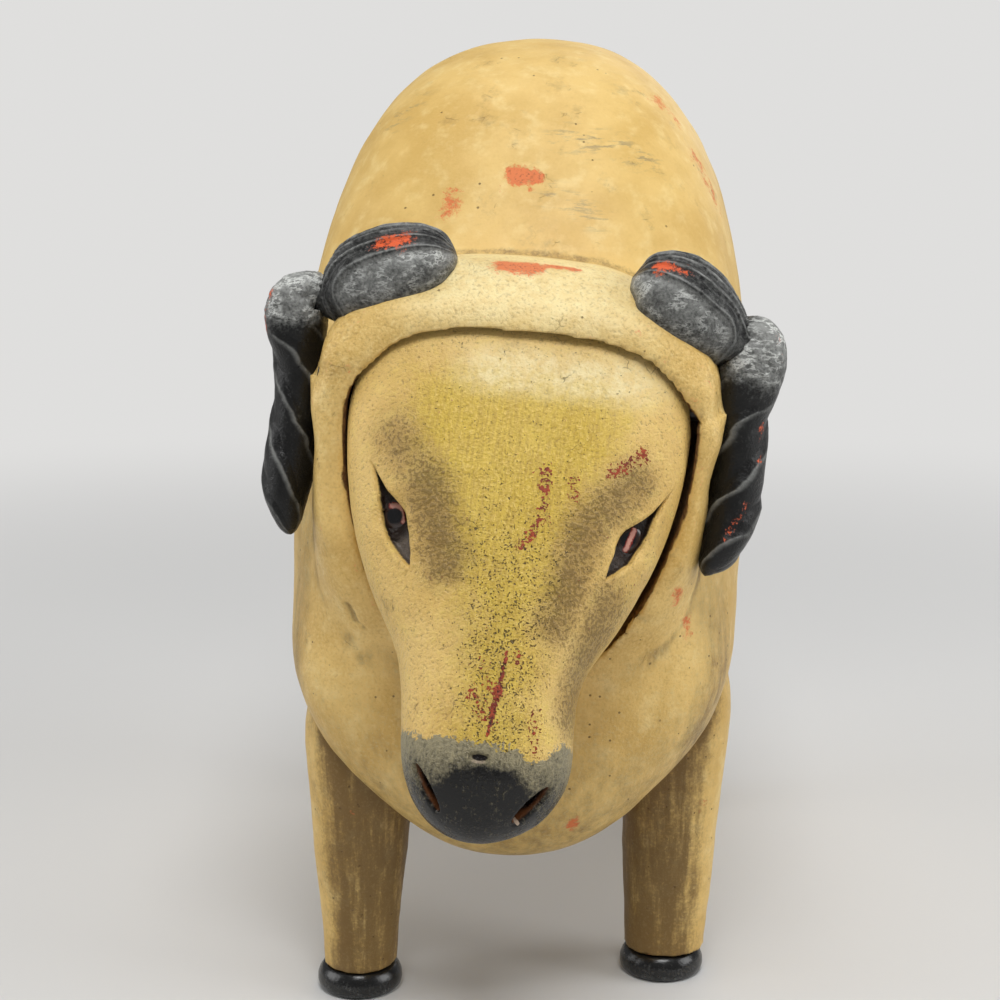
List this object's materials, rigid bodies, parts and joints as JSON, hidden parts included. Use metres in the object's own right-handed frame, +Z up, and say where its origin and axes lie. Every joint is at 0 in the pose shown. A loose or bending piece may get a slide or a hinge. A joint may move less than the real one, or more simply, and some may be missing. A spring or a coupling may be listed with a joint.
{
  "type": "wooden ram figurine",
  "caption": "Carved and painted wooden ram with ridged black horns, turned hooves and a face block that nods on a pin inside its hood",
  "frame": {"origin": "middle of the bounding box, on the plane of the hoof soles", "axes": "+Z up, the face looks along -Y, +X is the ram's left side"},
  "size_m": [0.081, 0.1794, 0.1585],
  "materials": {
    "tan_paint": "satin",
    "face_paint": "satin",
    "black_paint": "satin",
    "bare_wood": "matte",
    "iron": "matte",
    "eye_bead": "gloss"
  },
  "bodies": {
    "figure": {"torso": "tan_paint", "leg_front_right": "tan_paint", "leg_front_left": "tan_paint", "leg_rear_right": "tan_paint", "leg_rear_left": "tan_paint", "tail": "tan_paint", "horn_right": "black_paint", "horn_left": "black_paint", "hoof_front_right": "black_paint", "hoof_front_left": "black_paint", "hoof_rear_right": "black_paint", "hoof_rear_left": "black_paint", "horn_dowel_right": "bare_wood", "horn_dowel_left": "bare_wood", "leg_dowel_front_right": "bare_wood", "leg_dowel_front_left": "bare_wood", "leg_dowel_rear_right": "bare_wood", "leg_dowel_rear_left": "bare_wood", "tail_dowel": "bare_wood", "nod_pin": "iron"},
    "head": {"head": "face_paint", "neck_stem": "bare_wood", "counterweight": "iron", "eye_right": "eye_bead", "eye_left": "eye_bead"}
  },
  "joints": [
    {"name": "head_nod", "type": "hinge", "parent": "figure", "child": "head", "pos_m": [0.00079, -0.05841, 0.1023], "axis": [0.9965, 0, -0.0837], "range_deg": [-7, 4]}
  ]
}
